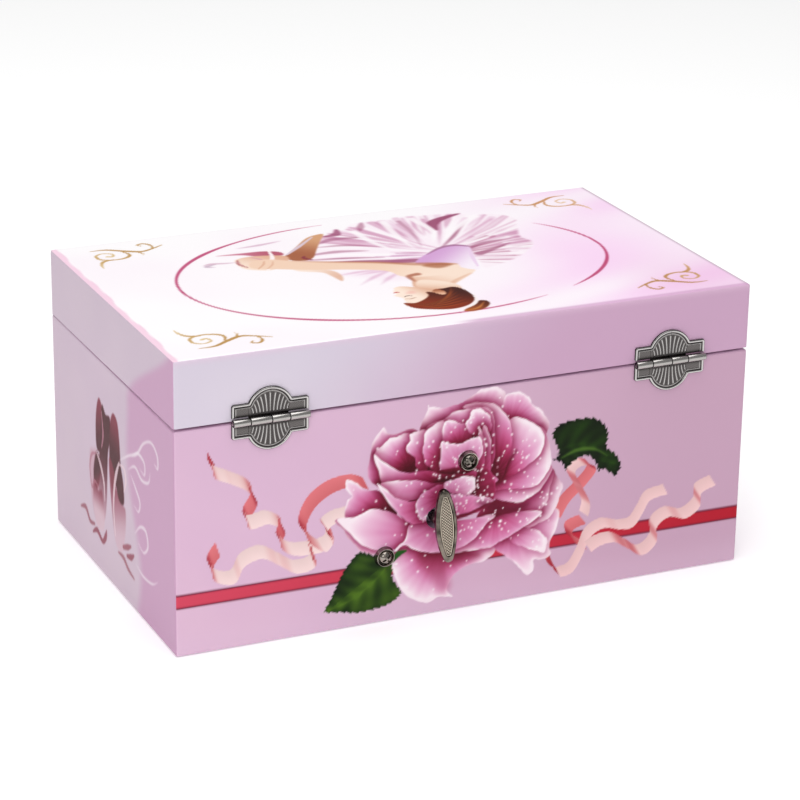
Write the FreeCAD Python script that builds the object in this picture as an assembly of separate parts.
"""Musical jewellery box with a folding ballerina: one STEP per piece, in millimetres.

Frame: the origin is the middle of the box's underside, +Z is up, the lid is hinged along +Y and
opens at -Y. The winding key and the two movement screws come out of the back wall, at +Y.
"""

import FreeCAD
import Part
import math
import os

V = FreeCAD.Vector
X_AXIS, Y_AXIS, Z_AXIS = V(1, 0, 0), V(0, 1, 0), V(0, 0, 1)

# ---- box ----
box_width = 190.0            # X
box_depth = 112.5            # Y
body_height = 71.5           # rim of the lower box
lid_height = 20.7            # back of the lid, rim to top
rim_gap_back = 0.8           # between the two rims at the hinges
rim_gap_front = 0.2          # between the two rims at the front
wall = 5.0                   # wall boards
floor_thickness = 3.0
top_thickness = 3.0
edge_radius = 0.8            # wrapped outer edges

# ---- hinges ----
hinge_spacing = 132.4        # between the middles of the two hinges
hinge_shift = -1.0           # of the pair, towards -X
hinge_width = 24.2
leaf_thickness = 0.7
leaf_arm = 5.4               # height of the leaf's ends, from the pin
leaf_reach = 9.8             # height of the round lobe, from the pin
lobe_share = 0.56            # lobe's chord over the hinge's width
knuckle_radius = 1.2
pin_radius = 0.6
pin_clearance = 0.04         # around the pin in the lid leaf's knuckles
knuckle_gap = 0.15           # between knuckles, and from a knuckle to the other leaf
barrel_standoff = 0.1        # between the barrel and the box's back

# ---- lining and mirror ----
lining = 1.2                 # covered card on the walls
lining_below_rim = 2.0
lid_board = 1.5              # covered card under the lid's top
mirror_width = 112.0
mirror_height = 68.0
mirror_thickness = 2.0
bezel_width = 4.0
bezel_lip = 0.6              # the bezel stands this far below the glass

# ---- compartments ----
partition = 1.2              # covered card partitions
housing_half_width = 42.0
housing_depth = 24.2         # from the back wall's inside to the front of the movement's housing
housing_top = 58.5
housing_wall = 2.0
ring_box_width = 50.0
ring_box_top = 46.0
ring_roll_count = 5
ring_roll_height = 12.0
ring_roll_gap = 0.8
soft_clearance = 0.3         # between soft pieces and their neighbours

# ---- movement ----
key_x = 10.8                 # winding arbor, in the back wall's plane
key_z = 31.5
plate_thickness = 3.0        # cast bedplate
plate_margin = 1.3           # of the bedplate beyond what it carries
arbor_radius = 1.5
arbor_clearance = 0.06
key_hole_radius = 3.5
key_standoff = 6.7           # middle of the key's grip, from the back wall
key_width = 7.0
key_length = 22.2            # before its round ends
key_end = 0.9                # height of the round ends
key_end_share = 0.42         # round end's breadth over the grip's
key_thickness = 2.0
key_edge = 0.4               # bevel round the grip
key_recess = 0.4             # in the grip's outer face
key_recess_width = 0.70      # over the grip's own
key_recess_length = 0.84
key_lean = 5.0               # degrees at rest, the grip's top towards +X
key_hub_radius = 2.0
key_hub_height = 1.6         # outside the back wall, before the neck
key_neck_radius = 1.5        # where the neck meets the grip
arbor_reach = 2.2            # of the winding arbor into the key, from the wall's outside
hub_inset = 1.2              # the key's hub inside the back wall's hole
clutch_wire = 0.4            # radius of the winding clutch's wire
screw_angles = (120.4, -30.2)    # of the movement screws about the winding arbor, from +X to +Z
screw_gap = 1.9              # between a screw's boss and the great wheel
screw_radius = 1.3
screw_head_radius = 2.25
screw_head_height = 1.7
washer_radius = 3.35
washer_height = 1.3
boss_radius = 3.0
boss_height = 3.0
screw_bite = 2.0             # the movement screws' thread beyond the bedplate, in the bosses
bush_radius = 2.6            # brass bush in the platform

barrel_radius = 11.0         # mainspring barrel
barrel_wall = 0.8
wheel_gap = 0.35             # between the bedplate and the great wheel
wheel_thickness = 1.8
crown_gap = 1.2              # between the barrel and the crown teeth
crown_width = 2.8            # of the toothed ring
crown_height = 1.5
crown_teeth = 44
crown_tooth_width = 0.5

pinion_teeth = 11            # pinions on the crown wheel
pinion_width = 1.6
pinion_tooth_root = 0.75     # tooth's breadth at its root
pinion_tooth_tip = 0.35
tooth_clearance = 0.25       # between a tooth's tip and the root it runs in
shaft_radius = 1.0
shaft_clearance = 0.05

drum_radius = 6.5
drum_length = 16.0
drum_pin_radius = 0.18
drum_pin_height = 0.6
notes = 18
comb_thickness = 1.0
comb_clearance = 0.1         # between the drum pins' circle and the comb's tips
comb_screw_radius = 1.0
comb_screw_head_radius = 1.9

drum_gear_teeth = 20
idler_pinion_teeth = 10
gear_width = 1.0
gear_addendum = 0.82         # of the drum gear and idler pinion, in modules
gear_dedendum = 1.18
idler_gap = 0.35             # between the drum's pins and the idler's shaft
worm_wheel_teeth = 12
worm_wheel_pitch_radius = 4.0
worm_pitch_radius = 1.6
worm_length = 7.5
worm_root_radius = 1.0
worm_tip_radius = 2.05
idler_radius = 0.8
comb_length = 7.0            # free length of the comb's teeth
fan_radius = 4.4
fan_height = 5.0
fan_thickness = 0.5

lug_thickness = 1.8
lug_gap = 0.4                # between a lug and what turns beside it
bridge_thickness = 1.2
bridge_width = 5.0

# ---- ballerina ----
seat_radius = 4.0
seat_height = 2.2
spring_bend = 7.0            # radius of the folded spring's middle line
spring_radius = 2.0          # outside of the coil
spring_wire = 0.5
spring_end_gap = 0.3         # between the coil's ends and what they stand on
plug_depth = 1.2             # the figure's plug inside the coil
figure_height = 46.0         # plug to fingertips
tutu_radius = 13.0
tutu_height = 20.0           # from the plug to the skirt

# ---- stop wire ----
stop_wire_radius = 0.6
stop_wire_x = -36.5
stop_wire_set_in = 2.0       # from the back wall's inside
stop_gap = 0.3               # between the wire's top and the lid's pad when closed

# ---- derived places ----
total_height = body_height + rim_gap_back + lid_height
half_width = box_width / 2
half_depth = box_depth / 2
inner_x = half_width - wall
inner_y = half_depth - wall
lid_rim_back = body_height + rim_gap_back
lid_rim_front = body_height + rim_gap_front
pin_y = half_depth + barrel_standoff + knuckle_radius
pin_z = body_height + rim_gap_back / 2
hinge_centres = {"left": hinge_shift + hinge_spacing / 2, "right": hinge_shift - hinge_spacing / 2}

crown_inner = barrel_radius + crown_gap
wheel_radius = crown_inner + crown_width
crown_pitch_radius = (crown_inner + wheel_radius - 0.2) / 2
screw_reach = wheel_radius + screw_gap + boss_radius
screw_places = [(screw_reach * math.cos(math.radians(a)), screw_reach * math.sin(math.radians(a)))
                for a in screw_angles]
plate_face = inner_y - plate_thickness
wheel_back = plate_face - wheel_gap
wheel_front = wheel_back - wheel_thickness
crown_tip = wheel_front - crown_height
pinion_pitch = crown_pitch_radius * pinion_teeth / crown_teeth
pinion_root = pinion_pitch - 0.875
pinion_tip = pinion_pitch + 0.575
train_y = crown_tip - tooth_clearance - pinion_root       # height of the drum's and spindle's axes
barrel_front = wheel_front - 13.5
bridge_back = barrel_front - 0.6
bridge_front = bridge_back - bridge_thickness
pinion_far = crown_pitch_radius + pinion_width / 2
pinion_near = crown_pitch_radius - pinion_width / 2

near_lug_x = key_x - wheel_radius - lug_gap - lug_thickness          # low-X face
drum_x = near_lug_x - 0.8 - drum_length                              # low-X face
drum_gear_x = drum_x - lug_gap - gear_width
far_lug_x = drum_gear_x - 0.5 - lug_thickness
worm_wheel_x = far_lug_x - 1.1 - gear_width
idler_drop = drum_radius + drum_pin_height + idler_radius + idler_gap
gear_module = 2 * idler_drop / (drum_gear_teeth + idler_pinion_teeth)
idler_z = key_z - idler_drop
fan_x = worm_wheel_x + gear_width / 2
fan_y = train_y - worm_wheel_pitch_radius - worm_pitch_radius
fan_low = key_z + gear_module * (drum_gear_teeth / 2 + gear_addendum) + 1.05
plate_x0 = fan_x - 2.5 - plate_margin
plate_x1 = key_x + max(dx for dx, dz in screw_places) + boss_radius + plate_margin
plate_z0 = key_z - wheel_radius - 4 * plate_margin
plate_z1 = key_z + max(dz for dx, dz in screw_places) + boss_radius + plate_margin
stop_foot_z = fan_low + fan_height + 0.15 + stop_wire_radius
stop_wire_y = inner_y - stop_wire_set_in
pad_low = lid_rim_back + 0.7
stop_wire_top = pad_low - stop_gap

screw_depth = plate_thickness + screw_bite
comb_tip_z = key_z + drum_radius + drum_pin_height + comb_clearance
comb_heel_z = comb_tip_z + comb_length
comb_screw_z = comb_heel_z + 3.2
comb_screw_x = (drum_x + drum_length * 0.25, drum_x + drum_length * 0.75)
comb_screw_end = train_y + comb_thickness / 2 + 3.0

mirror_low = total_height - top_thickness - lid_board - mirror_thickness
housing_front = inner_y - housing_depth
seat_z = housing_top + 0.4
spring_foot_z = seat_z + seat_height
figure_y = train_y - spring_bend
figure_z = spring_foot_z + spring_bend

parts = {}


def block(x0, x1, y0, y1, z0, z1):
    """A block between two corners."""
    low = V(min(x0, x1), min(y0, y1), min(z0, z1))
    return Part.makeBox(abs(x1 - x0), abs(y1 - y0), abs(z1 - z0), low)


def rod(radius, start, end):
    """A cylinder from one point to another."""
    return Part.makeCylinder(radius, (end - start).Length, start, end - start)


def prism(points, along):
    """A flat outline pushed along a vector."""
    return Part.Face(Part.makePolygon(points + points[:1])).extrude(along)


def rounded_block(x0, x1, y0, y1, z0, z1, radius):
    """A block with all its outer edges rounded."""
    solid = block(x0, x1, y0, y1, z0, z1)
    return solid.makeFillet(min(radius, (z1 - z0) / 3), solid.Edges)


def one(shape):
    """The single solid of a boolean result."""
    clean = shape.removeSplitter()
    return clean.Solids[0] if len(clean.Solids) == 1 else clean


def turned(shape, angle, centre, axis):
    """A copy turned about a line."""
    copy = shape.copy()
    copy.rotate(centre, axis, angle)
    return copy


# ---------------------------------------------------------------- box and lid

def mitred_walls(shell, low, high):
    """The four wall boards of a ring, split by the mitres at its corners."""
    far = half_width + half_depth
    inset = half_width - half_depth
    base = low - 1
    up = V(0, 0, high - low + 2)
    wedges = {
        "front_wall": [V(-inset, 0, base), V(-inset - far, -far, base),
                       V(inset + far, -far, base), V(inset, 0, base)],
        "back_wall": [V(-inset, 0, base), V(inset, 0, base),
                      V(inset + far, far, base), V(-inset - far, far, base)],
        "left_wall": [V(inset, 0, base), V(inset + far, -far, base), V(inset + far, far, base)],
        "right_wall": [V(-inset, 0, base), V(-inset - far, far, base), V(-inset - far, -far, base)],
    }
    return {name: one(shell.common(prism(points, up))) for name, points in wedges.items()}


def make_body_box():
    """The lower box: four mitred wall boards and a floor let in between them."""
    outer = rounded_block(-half_width, half_width, -half_depth, half_depth, 0, body_height, edge_radius)
    shell = outer.cut(block(-inner_x, inner_x, -inner_y, inner_y, -1, body_height + 1))
    walls = mitred_walls(shell, 0, body_height)
    back = walls["back_wall"]
    back = back.cut(rod(key_hole_radius, V(key_x, inner_y - 1, key_z), V(key_x, half_depth + 1, key_z)))
    for dx, dz in screw_places:
        start = V(key_x + dx, inner_y - 1, key_z + dz)
        back = back.cut(rod(screw_radius + 0.1, start, start + V(0, wall + 2, 0)))
    walls["back_wall"] = one(back)
    for name, solid in walls.items():
        parts["body_" + name] = solid
    parts["body_floor"] = block(-inner_x, inner_x, -inner_y, inner_y, 0, floor_thickness)


def make_lid():
    """The lid: four mitred wall boards whose rim rises towards the hinges, and a top board."""
    outer = rounded_block(-half_width, half_width, -half_depth, half_depth,
                          body_height - 5, total_height, edge_radius)
    side = half_width + 1
    reach = half_depth + 1
    slope = (lid_rim_back - lid_rim_front) / box_depth
    below = prism([V(-side, -reach, body_height - 6), V(-side, reach, body_height - 6),
                   V(-side, reach, lid_rim_back + slope), V(-side, -reach, lid_rim_front - slope)],
                  V(2 * side, 0, 0))
    outer = outer.cut(below)
    shell = outer.cut(block(-inner_x, inner_x, -inner_y, inner_y, body_height - 6, total_height + 1))
    for name, solid in mitred_walls(shell, body_height - 6, total_height).items():
        parts["lid_" + name] = solid
    parts["lid_top"] = block(-inner_x, inner_x, -inner_y, inner_y, total_height - top_thickness, total_height)


def leaf_outline(centre, sign):
    """One leaf's plate: a low bar with a round lobe in the middle. sign is +1 up, -1 down."""
    y = half_depth
    half = hinge_width / 2
    chord = hinge_width * lobe_share / 2
    arm = pin_z + sign * leaf_arm
    a = V(centre - half, y, pin_z)
    b = V(centre - half, y, arm)
    c = V(centre - chord, y, arm)
    top = V(centre, y, pin_z + sign * leaf_reach)
    d = V(centre + chord, y, arm)
    e = V(centre + half, y, arm)
    f = V(centre + half, y, pin_z)
    edges = [Part.makeLine(a, b), Part.makeLine(b, c), Part.Arc(c, top, d).toShape(),
             Part.makeLine(d, e), Part.makeLine(e, f), Part.makeLine(f, a)]
    return Part.Face(Part.Wire(edges)).extrude(V(0, leaf_thickness, 0))


def make_hinge(side):
    """A butt hinge: the lower leaf holds the pin in its outer knuckles, the lid's leaf turns on it."""
    centre = hinge_centres[side]
    half = hinge_width / 2
    cuts = [centre - half, centre - half * 0.47, centre, centre + half * 0.55, centre + half]
    axis = V(0, pin_y, pin_z)

    def knuckle(x0, x1, radius):
        return rod(radius, V(x0, axis.y, axis.z), V(x1, axis.y, axis.z))

    gap = knuckle_gap / 2
    outer_pairs = [(cuts[0], cuts[1] - gap), (cuts[3] + gap, cuts[4])]
    inner_pairs = [(cuts[1] + gap, cuts[2] - gap / 2), (cuts[2] + gap / 2, cuts[3] - gap)]
    pin_bore = knuckle(centre - half - 1, centre + half + 1, pin_radius)
    lid_bore = knuckle(centre - half - 1, centre + half + 1, pin_radius + pin_clearance)

    def relieve(leaf, x0, x1):
        """Clear one leaf away from the other leaf's knuckles."""
        return leaf.cut(knuckle(x0, x1, knuckle_radius + knuckle_gap))

    lower = leaf_outline(centre, -1)
    lower = relieve(lower, cuts[1] - gap, cuts[3] + gap)
    lower = lower.cut(block(cuts[1] - gap, cuts[3] + gap, half_depth - 1, half_depth + leaf_thickness + 1,
                            pin_z - knuckle_radius, pin_z + 1))
    for x0, x1 in outer_pairs:
        lower = lower.fuse(knuckle(x0, x1, knuckle_radius))
    parts[side + "_hinge_lower_leaf"] = one(lower.cut(pin_bore))

    upper = leaf_outline(centre, 1)
    for x0, x1 in ((cuts[0] - 1, cuts[1] + gap), (cuts[3] - gap, cuts[4] + 1)):
        upper = relieve(upper, x0, x1)
        upper = upper.cut(block(x0, x1, half_depth - 1, half_depth + leaf_thickness + 1,
                                pin_z - 1, pin_z + knuckle_radius))
    for x0, x1 in inner_pairs:
        upper = upper.fuse(knuckle(x0, x1, knuckle_radius))
    parts[side + "_hinge_upper_leaf"] = one(upper.cut(lid_bore))
    parts[side + "_hinge_pin"] = knuckle(centre - half, centre + half, pin_radius)


# ---------------------------------------------------------------- lining

def make_lining():
    """Covered card on the floor and walls, the partitions, the ring box and its rolls."""
    floor_top = floor_thickness + lining
    rim = body_height - lining_below_rim
    parts["floor_pad"] = block(-inner_x, inner_x, -inner_y, inner_y, floor_thickness, floor_top)
    inside_x = inner_x - lining
    parts["left_lining"] = block(inside_x, inner_x, -inner_y, inner_y, floor_top, rim)
    parts["right_lining"] = block(-inner_x, -inside_x, -inner_y, inner_y, floor_top, rim)
    front = -inner_y + lining
    parts["front_lining"] = block(-inside_x, inside_x, -inner_y, front, floor_top, rim)
    back = inner_y - lining
    beside = housing_half_width + 0.2
    low_left = block(beside, inside_x, back, inner_y, floor_top, rim)
    low_right = block(-inside_x, -beside, back, inner_y, floor_top, rim)
    parts["back_lining"] = Part.makeCompound([low_left, low_right])
    row = housing_front - soft_clearance
    for side, sign in (("left", 1), ("right", -1)):
        parts[side + "_partition"] = block(sign * beside, sign * inside_x, row - partition, row,
                                           floor_top, rim - 4)
    ring_x = -inside_x + ring_box_width
    parts["ring_box"] = block(-inside_x, ring_x, front, row - partition, floor_top, ring_box_top)
    make_ring_rolls(-inside_x, ring_x, front, row - partition)
    parts["ring_box_partition"] = block(ring_x, ring_x + partition, front, row - partition,
                                        floor_top, rim - 4)


def make_ring_rolls(x0, x1, y0, y1):
    """Soft rolls side by side on the ring box: rings stand in the gaps between them."""
    pitch = (y1 - y0 - 2 * soft_clearance + ring_roll_gap) / ring_roll_count
    depth = pitch - ring_roll_gap
    base = ring_box_top
    for index in range(ring_roll_count):
        start = y0 + soft_clearance + index * pitch
        middle = start + depth / 2
        shoulder = base + ring_roll_height - depth / 2
        a, b = V(x0 + soft_clearance, start, base), V(x0 + soft_clearance, start, shoulder)
        top = V(x0 + soft_clearance, middle, base + ring_roll_height)
        c, d = V(x0 + soft_clearance, start + depth, shoulder), V(x0 + soft_clearance, start + depth, base)
        wire = Part.Wire([Part.makeLine(a, b), Part.Arc(b, top, c).toShape(),
                          Part.makeLine(c, d), Part.makeLine(d, a)])
        roll = Part.Face(wire).extrude(V(x1 - x0 - 2 * soft_clearance, 0, 0))
        parts["ring_roll_%d" % (index + 1)] = roll


def make_lid_fittings():
    """Lining of the lid, the mirror in its bezel, and the pad that holds the stop wire down."""
    ceiling = total_height - top_thickness
    board_low = ceiling - lid_board
    parts["lid_board"] = block(-inner_x, inner_x, -inner_y, inner_y, board_low, ceiling)
    ring = block(-inner_x, inner_x, -inner_y, inner_y, pad_low, board_low)
    inside_x, inside_y = inner_x - lining, inner_y - lining
    parts["lid_lining"] = ring.cut(block(-inside_x, inside_x, -inside_y, inside_y,
                                         pad_low - 1, board_low + 1))
    half_mirror = mirror_width / 2
    half_tall = mirror_height / 2
    parts["mirror"] = block(-half_mirror, half_mirror, -half_tall, half_tall, mirror_low, board_low)
    bezel_low = mirror_low - bezel_lip
    outer = block(-half_mirror - bezel_width, half_mirror + bezel_width,
                  -half_tall - bezel_width, half_tall + bezel_width, bezel_low, board_low)
    lip = block(-half_mirror + 1, half_mirror - 1, -half_tall + 1, half_tall - 1,
                bezel_low - 1, board_low + 1)
    pocket = block(-half_mirror, half_mirror, -half_tall, half_tall, mirror_low, board_low + 1)
    parts["mirror_bezel"] = one(outer.cut(lip).cut(pocket))
    pad_half = 3.0
    parts["stop_pad"] = block(stop_wire_x - pad_half, stop_wire_x + pad_half,
                              stop_wire_y - 1.5, inside_y, pad_low, pad_low + 8)


def make_housing():
    """The covered housing over the movement: a platform, a front and two cheeks."""
    floor_top = floor_thickness + lining
    outer = block(-housing_half_width, housing_half_width, housing_front, inner_y, floor_top, housing_top)
    hollow = block(-housing_half_width + housing_wall, housing_half_width - housing_wall,
                   housing_front + housing_wall, inner_y + 1, floor_top - 1, housing_top - housing_wall)
    shell = outer.cut(hollow)
    shell = shell.cut(rod(bush_radius, V(key_x, train_y, housing_top - housing_wall - 1),
                          V(key_x, train_y, housing_top + 1)))
    shell = shell.cut(rod(stop_wire_radius + 0.3, V(stop_wire_x, stop_wire_y, housing_top - housing_wall - 1),
                          V(stop_wire_x, stop_wire_y, housing_top + 1)))
    parts["movement_housing"] = one(shell)


# ---------------------------------------------------------------- movement


def toothed_disc(teeth, root, tip, root_width, tip_width, thickness, phase):
    """A wheel about +X, from x = 0, with straight-sided teeth; phase is the first tooth's angle from +Y."""
    points = []
    for index in range(teeth):
        middle = math.radians(phase) + 2 * math.pi * index / teeth
        for radius, width, side in ((root, root_width, -1), (tip, tip_width, -1), (tip, tip_width, 1),
                                    (root, root_width, 1)):
            angle = middle + side * math.asin(width / 2 / radius)
            points.append(V(0, radius * math.cos(angle), radius * math.sin(angle)))
    return prism(points, V(thickness, 0, 0))


def make_bedplate():
    """The cast plate on the back wall: lugs for the drum and idler, a comb boss and screw bosses."""
    plate = block(plate_x0, plate_x1, plate_face, inner_y, plate_z0, plate_z1)
    corners = [edge for edge in plate.Edges if abs(edge.tangentAt(edge.FirstParameter).y) > 0.9]
    plate = plate.makeFillet(2.0, corners)
    reach = drum_radius + drum_pin_height + 1.0
    plate = plate.cut(block(far_lug_x + lug_thickness, near_lug_x, plate_face - 1, inner_y + 1,
                            key_z - reach, key_z + reach))
    lug_low = idler_z - 2.6
    for x in (near_lug_x, far_lug_x):
        lug = block(x, x + lug_thickness, train_y - 2.8, plate_face, lug_low, key_z + 3)
        plate = plate.fuse(lug)
    plate = plate.fuse(block(drum_x, near_lug_x - 0.4, train_y + comb_thickness / 2, plate_face,
                             comb_heel_z, plate_z1 - 0.5))
    for dx, dz in screw_places:
        centre = V(key_x + dx, plate_face, key_z + dz)
        plate = plate.fuse(rod(boss_radius, centre, centre - V(0, boss_height, 0)))
    for dx, dz in screw_places:
        centre = V(key_x + dx, inner_y + 1, key_z + dz)
        plate = plate.cut(rod(screw_radius, centre, centre - V(0, screw_depth + 1, 0)))
    plate = plate.cut(rod(arbor_radius + arbor_clearance, V(key_x, plate_face - 1, key_z),
                          V(key_x, inner_y + 1, key_z)))
    far = V(worm_wheel_x - 2, train_y, key_z)
    plate = plate.cut(rod(shaft_radius + shaft_clearance, far, V(near_lug_x + 3, train_y, key_z)))
    plate = plate.cut(rod(idler_radius + shaft_clearance, V(far.x, train_y, idler_z),
                          V(near_lug_x + 3, train_y, idler_z)))
    for x in comb_screw_x:
        plate = plate.cut(rod(comb_screw_radius, V(x, train_y - 1, comb_screw_z),
                              V(x, comb_screw_end, comb_screw_z)))
    parts["bedplate"] = one(plate)


def make_movement_screws():
    """Two pan-head screws and cup washers that hold the bedplate to the back wall from outside."""
    screws, washers = [], []
    for dx, dz in screw_places:
        face = V(key_x + dx, half_depth, key_z + dz)
        washer = Part.makeCone(washer_radius, washer_radius - 0.5, washer_height, face, Y_AXIS)
        dish = Part.makeCone(screw_head_radius + 0.05, washer_radius - 0.7, washer_height - 0.5,
                             face + V(0, 0.5, 0), Y_AXIS)
        washer = washer.cut(dish).cut(rod(screw_radius + 0.1, face - V(0, 1, 0), face + V(0, 2, 0)))
        washers.append(one(washer))
        seat = face + V(0, 0.5, 0)
        ball_radius = (screw_head_radius ** 2 + screw_head_height ** 2) / (2 * screw_head_height)
        ball = Part.makeSphere(ball_radius, seat + V(0, screw_head_height - ball_radius, 0))
        head = ball.common(rod(screw_head_radius + 0.5, seat, seat + V(0, screw_head_height, 0)))
        slot = block(-0.35, 0.35, seat.y + 0.6, seat.y + 3, -1.5, 1.5)
        cross = slot.fuse(turned(slot, 90, V(0, 0, 0), Y_AXIS))
        cross = turned(cross, 35, V(0, 0, 0), Y_AXIS)
        cross.translate(V(seat.x, 0, seat.z))
        head = head.cut(cross)
        shank = rod(screw_radius, seat, V(seat.x, inner_y - screw_depth, seat.z))
        screws.append(one(head.fuse(shank)))
    parts["movement_screws"] = Part.makeCompound(screws)
    parts["cup_washers"] = Part.makeCompound(washers)


def make_great_wheel():
    """The great wheel: a disc whose crown teeth stand on its front face, near the rim."""
    centre = V(key_x, wheel_front, key_z)
    disc = rod(wheel_radius, centre, V(key_x, wheel_back, key_z))
    teeth = []
    for index in range(crown_teeth):
        tooth = block(key_x + crown_inner, key_x + wheel_radius - 0.1, crown_tip, wheel_front + 0.2,
                      key_z - crown_tooth_width / 2, key_z + crown_tooth_width / 2)
        teeth.append(turned(tooth, 360.0 * index / crown_teeth, V(key_x, 0, key_z), Y_AXIS))
    wheel = disc.multiFuse(teeth)
    wheel = wheel.cut(rod(arbor_radius + arbor_clearance, centre - V(0, 1, 0),
                          V(key_x, wheel_back + 1, key_z)))
    parts["great_wheel"] = one(wheel)


def make_spring_barrel():
    """The cup around the mainspring, fixed to the great wheel, and the spring wound inside it."""
    front, back = V(key_x, barrel_front, key_z), V(key_x, wheel_front, key_z)
    cup = rod(barrel_radius, front, back)
    cup = cup.cut(rod(barrel_radius - barrel_wall, front + V(0, barrel_wall, 0), back + V(0, 1, 0)))
    cup = cup.cut(rod(arbor_radius + arbor_clearance, front - V(0, 1, 0), back))
    parts["spring_barrel"] = one(cup)
    turns, strip, first = 6, 0.35, 2.4
    pitch = (barrel_radius - barrel_wall - strip - 0.1 - first) / turns

    def half_turns(offset):
        """Start, middle and end of each half-circle of the spiral; each starts where the last one ended."""
        arcs = []
        for index in range(2 * turns):
            radius = first + offset + index * pitch / 2
            sign = 1 if index % 2 == 0 else -1
            middle = key_x + (0 if index % 2 == 0 else pitch / 2)
            arcs.append((V(middle + sign * radius, 0, key_z), V(middle, 0, key_z + sign * radius),
                         V(middle - sign * radius, 0, key_z)))
        return arcs

    inner, outer = half_turns(0), half_turns(strip)
    solids = []
    low, high = barrel_front + barrel_wall + 0.4, wheel_front - 0.4
    for (s0, t0, e0), (s1, t1, e1) in zip(inner, outer):
        wire = Part.Wire([Part.Arc(s0, t0, e0).toShape(), Part.makeLine(e0, e1),
                          Part.Arc(e1, t1, s1).toShape(), Part.makeLine(s1, s0)])
        face = Part.Face(wire)
        solid = face.extrude(V(0, high - low, 0))
        solid.translate(V(0, low, 0))
        solids.append(solid)
    spring = solids[0].multiFuse(solids[1:])
    parts["mainspring"] = one(spring)


def grip_outline(y, half_x, tip_z):
    """The key grip's leaf-shaped outline at y, from its half breadth and the height of its tips."""
    half_z = tip_z - key_end
    end_x = half_x * key_end_share
    corners = [V(key_x + end_x, y, key_z + half_z), V(key_x + end_x, y, key_z - half_z),
               V(key_x - end_x, y, key_z - half_z), V(key_x - end_x, y, key_z + half_z)]
    middles = [V(key_x + half_x, y, key_z), V(key_x, y, key_z - tip_z),
               V(key_x - half_x, y, key_z), V(key_x, y, key_z + tip_z)]
    arcs = [Part.Arc(corners[k], middles[k], corners[(k + 1) % 4]).toShape() for k in range(4)]
    return Part.Wire(arcs)


def make_winding():
    """The winding arbor, the coil clutch round it in the wall's hole, and the key."""
    make_clutch_spring()
    centre = V(key_x, half_depth + key_standoff, key_z)
    back_y = centre.y - key_thickness / 2
    half_x, tip_z = key_width / 2, key_length / 2 + key_end
    levels = ((0, key_edge), (key_edge, 0), (key_thickness - key_edge, 0), (key_thickness, key_edge))
    grip = Part.makeLoft([grip_outline(back_y + y, half_x - bevel, tip_z - bevel)
                          for y, bevel in levels], True, True)
    pocket = Part.Face(grip_outline(back_y + key_thickness - key_recess,
                                    half_x * key_recess_width, tip_z * key_recess_length))
    grip = turned(grip.cut(pocket.extrude(V(0, key_recess + 1, 0))), key_lean, centre, Y_AXIS)
    hub_start = half_depth - hub_inset
    hub_end = half_depth + key_hub_height
    hub = rod(key_hub_radius, V(key_x, hub_start, key_z), V(key_x, hub_end, key_z))
    neck = Part.makeCone(key_hub_radius, key_neck_radius, back_y + 0.2 - hub_end,
                         V(key_x, hub_end, key_z), Y_AXIS)
    arbor_end = half_depth + arbor_reach
    key = grip.fuse([hub, neck])
    key = key.cut(rod(arbor_radius, V(key_x, hub_start - 1, key_z), V(key_x, arbor_end, key_z)))
    parts["winding_arbor"] = rod(arbor_radius, V(key_x, bridge_front + 0.2, key_z),
                                 V(key_x, arbor_end, key_z))
    parts["winding_key"] = one(key)


def make_clutch_spring():
    """The coils of the winding clutch, round the arbor in the back wall's hole, short of the key's hub."""
    rings = []
    pitch = 2 * clutch_wire + 0.05
    ring_count = int((wall - hub_inset - 0.6) / pitch)
    for index in range(ring_count):
        y = inner_y + 0.3 + clutch_wire + index * pitch
        rings.append(Part.makeTorus(arbor_radius + arbor_clearance + clutch_wire, clutch_wire,
                                    V(key_x, y, key_z), Y_AXIS))
    parts["clutch_spring"] = Part.makeCompound(rings)


def make_bridge():
    """The strap over the barrel's front, on two legs, that carries the arbor's inner end."""
    reach = wheel_radius + 2.0
    foot = 1.6
    strap = block(key_x - reach - foot, key_x + reach + foot, bridge_front, bridge_back,
                  key_z - bridge_width / 2, key_z + bridge_width / 2)
    legs = []
    for sign in (-1, 1):
        legs.append(block(key_x + sign * reach, key_x + sign * (reach + foot), bridge_back, plate_face,
                          key_z - bridge_width / 2, key_z + bridge_width / 2))
    bridge = strap.fuse(legs)
    bridge = bridge.cut(rod(arbor_radius + arbor_clearance, V(key_x, bridge_front - 1, key_z),
                            V(key_x, bridge_back + 1, key_z)))
    parts["barrel_bridge"] = one(turned(bridge, -45, V(key_x, 0, key_z), Y_AXIS))


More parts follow.
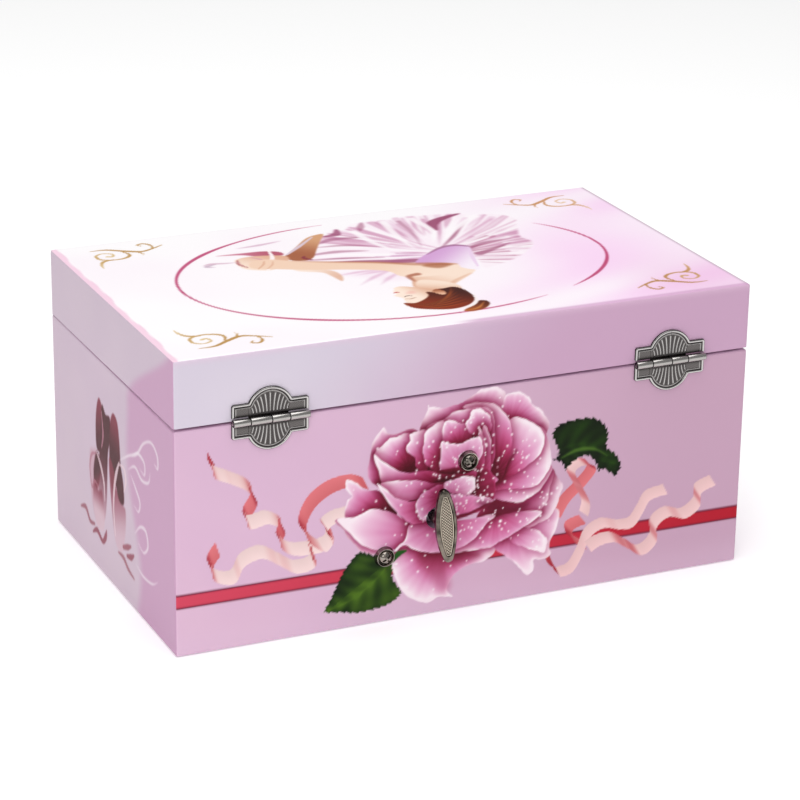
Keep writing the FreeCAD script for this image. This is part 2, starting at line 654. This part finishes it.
def make_drum():
    """The pinned drum on its arbor, with the pinion at one end and the drum gear at the other."""
    low, high = V(drum_x, train_y, key_z), V(drum_x + drum_length, train_y, key_z)
    drum = rod(drum_radius, low, high)
    track = drum_length / (notes + 1)
    pins = []
    for note in range(notes):
        for beat in range(4):
            angle = (note * 47 + beat * 83 + note * beat * 11) % 360
            if abs(angle - 90) < 9:
                angle += 20
            direction = V(0, math.cos(math.radians(angle)), math.sin(math.radians(angle)))
            base = V(drum_x + track * (note + 1), train_y, key_z)
            pins.append(rod(drum_pin_radius, base + direction * (drum_radius - 0.4),
                            base + direction * (drum_radius + drum_pin_height)))
    pinion_x = key_x - pinion_far
    arbor = rod(shaft_radius, V(far_lug_x - 0.3, train_y, key_z),
                V(pinion_x + pinion_width + 0.3, train_y, key_z))
    pinion = toothed_disc(pinion_teeth, pinion_root, pinion_tip, pinion_tooth_root,
                          pinion_tooth_tip, pinion_width, 180.0 / pinion_teeth)
    pinion.translate(V(pinion_x, train_y, key_z))
    gear = spur(drum_gear_teeth, -90.0)
    gear.translate(V(drum_gear_x, train_y, key_z))
    parts["drum"] = one(drum.multiFuse(pins))
    bored = parts["drum"].cut(rod(shaft_radius, low - V(1, 0, 0), high + V(1, 0, 0)))
    parts["drum"] = one(bored)
    parts["drum_arbor"] = one(arbor.fuse([pinion, gear]))


def spur(teeth, phase):
    """A spur gear about +X of the train's module, from x = 0."""
    pitch_radius = gear_module * teeth / 2
    root = pitch_radius - gear_dedendum * gear_module
    tip = pitch_radius + gear_addendum * gear_module
    return toothed_disc(teeth, root, tip, 1.45 * gear_module, 0.72 * gear_module, gear_width, phase)


def make_comb():
    """The steel comb: a heel with two screw holes and eighteen tapering teeth down to the drum."""
    y0, y1 = train_y - comb_thickness / 2, train_y + comb_thickness / 2
    track = drum_length / (notes + 1)
    comb = block(drum_x + 0.3, drum_x + drum_length - 0.3, y0, y1, comb_heel_z, plate_z1 - 0.7)
    teeth = []
    for note in range(notes):
        x = drum_x + track * (note + 1)
        tip, root = track * 0.22, track * 0.34
        outline = [V(x - tip, y0, comb_tip_z), V(x + tip, y0, comb_tip_z),
                   V(x + root, y0, comb_heel_z + 0.5), V(x - root, y0, comb_heel_z + 0.5)]
        teeth.append(prism(outline, V(0, comb_thickness * 0.6, 0)))
    comb = comb.multiFuse(teeth)
    screws = []
    for x in comb_screw_x:
        comb = comb.cut(rod(comb_screw_radius, V(x, y0 - 1, comb_screw_z), V(x, y1 + 1, comb_screw_z)))
        shank = rod(comb_screw_radius, V(x, y0, comb_screw_z), V(x, comb_screw_end, comb_screw_z))
        head = rod(comb_screw_head_radius, V(x, y0 - 1.2, comb_screw_z), V(x, y0, comb_screw_z))
        slot = block(x - 2.5, x + 2.5, y0 - 1.3, y0 - 0.8, comb_screw_z - 0.25, comb_screw_z + 0.25)
        screws.append(one(head.cut(slot).fuse(shank)))
    parts["comb"] = one(comb)
    parts["comb_screws"] = Part.makeCompound(screws)


def make_idler():
    """The idler: a pinion on the drum gear, and the wheel that drives the governor's worm."""
    shaft = rod(idler_radius, V(worm_wheel_x - 0.6, train_y, idler_z),
                V(near_lug_x + lug_thickness, train_y, idler_z))
    pinion = spur(idler_pinion_teeth, 90.0 + 180.0 / idler_pinion_teeth)
    pinion.translate(V(drum_gear_x, train_y, idler_z))
    pitch_width = 2 * math.pi * worm_wheel_pitch_radius / worm_wheel_teeth
    wheel = toothed_disc(worm_wheel_teeth, worm_wheel_pitch_radius - 0.9, worm_wheel_pitch_radius + 0.45,
                         pitch_width * 0.42, pitch_width * 0.2, gear_width, 180.0)
    wheel.translate(V(worm_wheel_x, train_y, idler_z))
    parts["idler"] = one(shaft.fuse([pinion, wheel]))


def make_governor():
    """The air governor: a worm on a thin spindle with a two-bladed fan, in a bent frame."""
    pitch = 2 * math.pi * worm_wheel_pitch_radius / worm_wheel_teeth
    base_z = idler_z - worm_length / 2
    helix = Part.makeHelix(pitch, worm_length, worm_root_radius)
    crest, root = 0.22, 0.4
    inside = worm_root_radius - 0.15
    profile = Part.makePolygon([V(inside, 0, -root), V(worm_tip_radius, 0, -crest),
                                V(worm_tip_radius, 0, crest), V(inside, 0, root), V(inside, 0, -root)])
    thread = Part.Wire(helix).makePipeShell([profile], True, True)
    worm_phase = 90 - 360 * (worm_length / 2 / pitch - 0.5)    # the wheel's tooth sits in the thread's groove
    thread = turned(thread, worm_phase, V(0, 0, 0), Z_AXIS)
    thread.translate(V(fan_x, fan_y, base_z))
    thread = thread.common(rod(worm_tip_radius + 1, V(fan_x, fan_y, base_z),
                               V(fan_x, fan_y, base_z + worm_length)))
    core = rod(worm_root_radius, V(fan_x, fan_y, base_z), V(fan_x, fan_y, base_z + worm_length))
    low, high = base_z - 2.6, fan_low + fan_height + 2.0
    spindle = rod(0.5, V(fan_x, fan_y, low), V(fan_x, fan_y, high))
    hub = rod(1.1, V(fan_x, fan_y, fan_low), V(fan_x, fan_y, fan_low + fan_height))
    half = fan_thickness / 2
    length = math.sqrt(fan_radius ** 2 - half ** 2)
    blades = block(fan_x - length, fan_x + length, fan_y - half, fan_y + half, fan_low, fan_low + fan_height)
    parts["governor_fan"] = one(core.fuse([thread, spindle, hub, blades]))
    arm = 1.5
    floor_z, roof_z = low + 0.3, high - arm - 0.3
    arms = []
    for z in (floor_z, roof_z):
        arms.append(block(fan_x - 1.7, fan_x + 1.7, fan_y - 1.7, plate_face, z, z + arm))
    web = block(fan_x - 2.5, fan_x + 1.1, plate_face - 0.9, plate_face, floor_z, roof_z + arm)
    frame = web.fuse(arms).cut(rod(0.5 + shaft_clearance, V(fan_x, fan_y, low - 1),
                                   V(fan_x, fan_y, high + 1)))
    parts["governor_frame"] = one(frame)


def make_spindle():
    """The ballerina's spindle: a pinion on the crown wheel, up through a bracket and a brass bush."""
    base = V(key_x, train_y, 0)
    low = key_z + pinion_near - 0.3
    shaft = rod(shaft_radius, base + V(0, 0, low), base + V(0, 0, seat_z + 0.5))
    pinion = toothed_disc(pinion_teeth, pinion_root, pinion_tip, pinion_tooth_root,
                          pinion_tooth_tip, pinion_width, 180.0 / pinion_teeth)
    pinion = turned(pinion, -90, V(0, 0, 0), Y_AXIS)
    pinion.translate(base + V(0, 0, key_z + pinion_near))
    seat = rod(seat_radius, base + V(0, 0, seat_z), base + V(0, 0, spring_foot_z))
    edge = [e for e in seat.Edges if e.BoundBox.ZMin > spring_foot_z - 0.01]
    seat = seat.makeFillet(0.8, edge)
    parts["spindle"] = one(shaft.fuse([pinion, seat]))
    top = key_z + pinion_far + 1.0
    bracket = block(key_x - 3.5, key_x + 3.5, train_y - 3.0, plate_face, top, top + 1.5)
    foot = block(key_x - 3.5, key_x + 3.5, plate_face - 1.0, plate_face, top, plate_z1 - 0.5)
    bracket = bracket.fuse(foot).cut(rod(shaft_radius + shaft_clearance, base + V(0, 0, top - 1),
                                         base + V(0, 0, top + 3)))
    parts["spindle_bracket"] = one(bracket)
    flange = rod(bush_radius + 0.9, base + V(0, 0, housing_top - housing_wall - 0.8),
                 base + V(0, 0, housing_top - housing_wall))
    sleeve = rod(bush_radius, base + V(0, 0, housing_top - housing_wall - 0.8), base + V(0, 0, housing_top))
    bush = flange.fuse(sleeve).cut(rod(shaft_radius + shaft_clearance, base + V(0, 0, housing_top - 6),
                                       base + V(0, 0, housing_top + 1)))
    parts["spindle_bush"] = one(bush)


def make_stop_wire():
    """The bent wire that the closed lid presses down onto the fan, so that the music stops."""
    top = V(stop_wire_x, stop_wire_y, stop_wire_top)
    heel = V(stop_wire_x, stop_wire_y, stop_foot_z)
    corner = V(stop_wire_x, fan_y, stop_foot_z)
    toe = V(fan_x - fan_radius + 1.3, fan_y, stop_foot_z)
    pieces = [rod(stop_wire_radius, heel, top), rod(stop_wire_radius, heel, corner),
              rod(stop_wire_radius, corner, toe)]
    balls = [Part.makeSphere(stop_wire_radius, point) for point in (heel, corner)]
    parts["stop_wire"] = one(pieces[0].fuse(pieces[1:] + balls))


# ---------------------------------------------------------------- ballerina

def lay_down(shape):
    """Turn an upright shape, built on the plug's foot at the origin, into its folded place."""
    laid = turned(shape, 90, V(0, 0, 0), X_AXIS)
    laid.translate(V(key_x, figure_y, figure_z))
    return laid


def limb(start, end, r0, r1):
    """A tapering limb with a round end."""
    cone = Part.makeCone(r0, r1, (end - start).Length, start, end - start)
    return cone.fuse(Part.makeSphere(r1, end))


def make_ballerina():
    """The moulded dancer on a plug, the stiff net skirt, and the coil spring that folds under her."""
    plug = rod(spring_radius - spring_wire * 2 - 0.2, V(0, 0, -plug_depth), V(0, 0, 0.2))
    foot = rod(spring_radius + 0.4, V(0, 0, 0), V(0, 0, 1.2))
    hip, ankle, toe = V(0.2, 0.3, 19.5), V(0, 0, 1.0), V(0.6, -0.9, 9.6)
    calf, knee = V(0, 0.3, 10.5), V(3.4, -1.6, 12.6)
    standing = limb(ankle, calf, 0.75, 1.35).fuse(limb(calf, hip, 1.35, 2.0))
    bent = limb(V(0.4, -0.2, 19.0), knee, 1.9, 1.2).fuse(limb(knee, toe, 1.15, 0.6))
    hips = Part.makeCone(2.9, 1.75, 4.6, V(0, 0, 18.6), Z_AXIS)
    chest = Part.makeCone(1.75, 2.7, 4.6, V(0, 0, 23.2), Z_AXIS)
    shoulders = Part.makeCone(2.7, 0.95, 1.7, V(0, 0, 27.8), Z_AXIS)
    neck = rod(0.85, V(0, 0, 28.5), V(0, 0, 31.2))
    head = Part.makeSphere(2.5, V(0, -0.1, 33.4))
    bun = Part.makeSphere(1.15, V(0, 1.7, 35.5))
    body = plug.fuse([foot, standing, bent, hips, chest, shoulders, neck, head, bun])
    tip_z = figure_height - 0.8
    for sign in (-1, 1):
        elbow = V(sign * 6.0, -0.6, 34.0)
        body = body.fuse([limb(V(sign * 2.3, 0, 28.0), elbow, 0.85, 0.7),
                          limb(elbow, V(sign * 1.2, -0.8, tip_z), 0.7, 0.55)])
    skirt_hole = Part.makeCone(3.0, 2.35, 2.4, V(0, 0, tutu_height - 0.9), Z_AXIS)
    outline = [V(2.9, 0, tutu_height - 0.5), V(tutu_radius, 0, tutu_height - 2.4),
               V(tutu_radius, 0, tutu_height - 1.4), V(2.6, 0, tutu_height + 1.2)]
    face = Part.Face(Part.makePolygon(outline + outline[:1]))
    skirt = face.revolve(V(0, 0, 0), Z_AXIS, 360)
    parts["ballerina"] = one(lay_down(body))
    parts["tutu"] = one(lay_down(one(skirt.cut(skirt_hole).cut(body))))
    make_fold_spring()


def make_fold_spring():
    """The close-wound spring, bent through a quarter turn about a point in front of the spindle."""
    coils = []
    end_angle = (spring_end_gap + spring_wire / 2) / (spring_bend - spring_radius)
    span = math.pi / 2 - 2 * end_angle
    count = int(span * spring_bend / (spring_wire * 1.06))
    for index in range(count + 1):
        angle = end_angle + span * index / count
        centre = V(key_x, train_y - spring_bend + spring_bend * math.cos(angle),
                   spring_foot_z + spring_bend * math.sin(angle))
        along = V(0, -math.sin(angle), math.cos(angle))
        coils.append(Part.makeTorus(spring_radius - spring_wire / 2, spring_wire / 2, centre, along))
    parts["fold_spring"] = Part.makeCompound(coils)


def make_all():
    """Build every piece."""
    make_body_box()
    make_lid()
    make_hinge("left")
    make_hinge("right")
    make_lining()
    make_lid_fittings()
    make_housing()
    make_bedplate()
    make_movement_screws()
    make_great_wheel()
    make_spring_barrel()
    make_winding()
    make_bridge()
    make_drum()
    make_comb()
    make_idler()
    make_governor()
    make_spindle()
    make_stop_wire()
    make_ballerina()


make_all()
os.makedirs("parts", exist_ok=True)
for name, shape in parts.items():
    shape.exportStep(os.path.join("parts", name + ".step"))
print(len(parts), "parts")
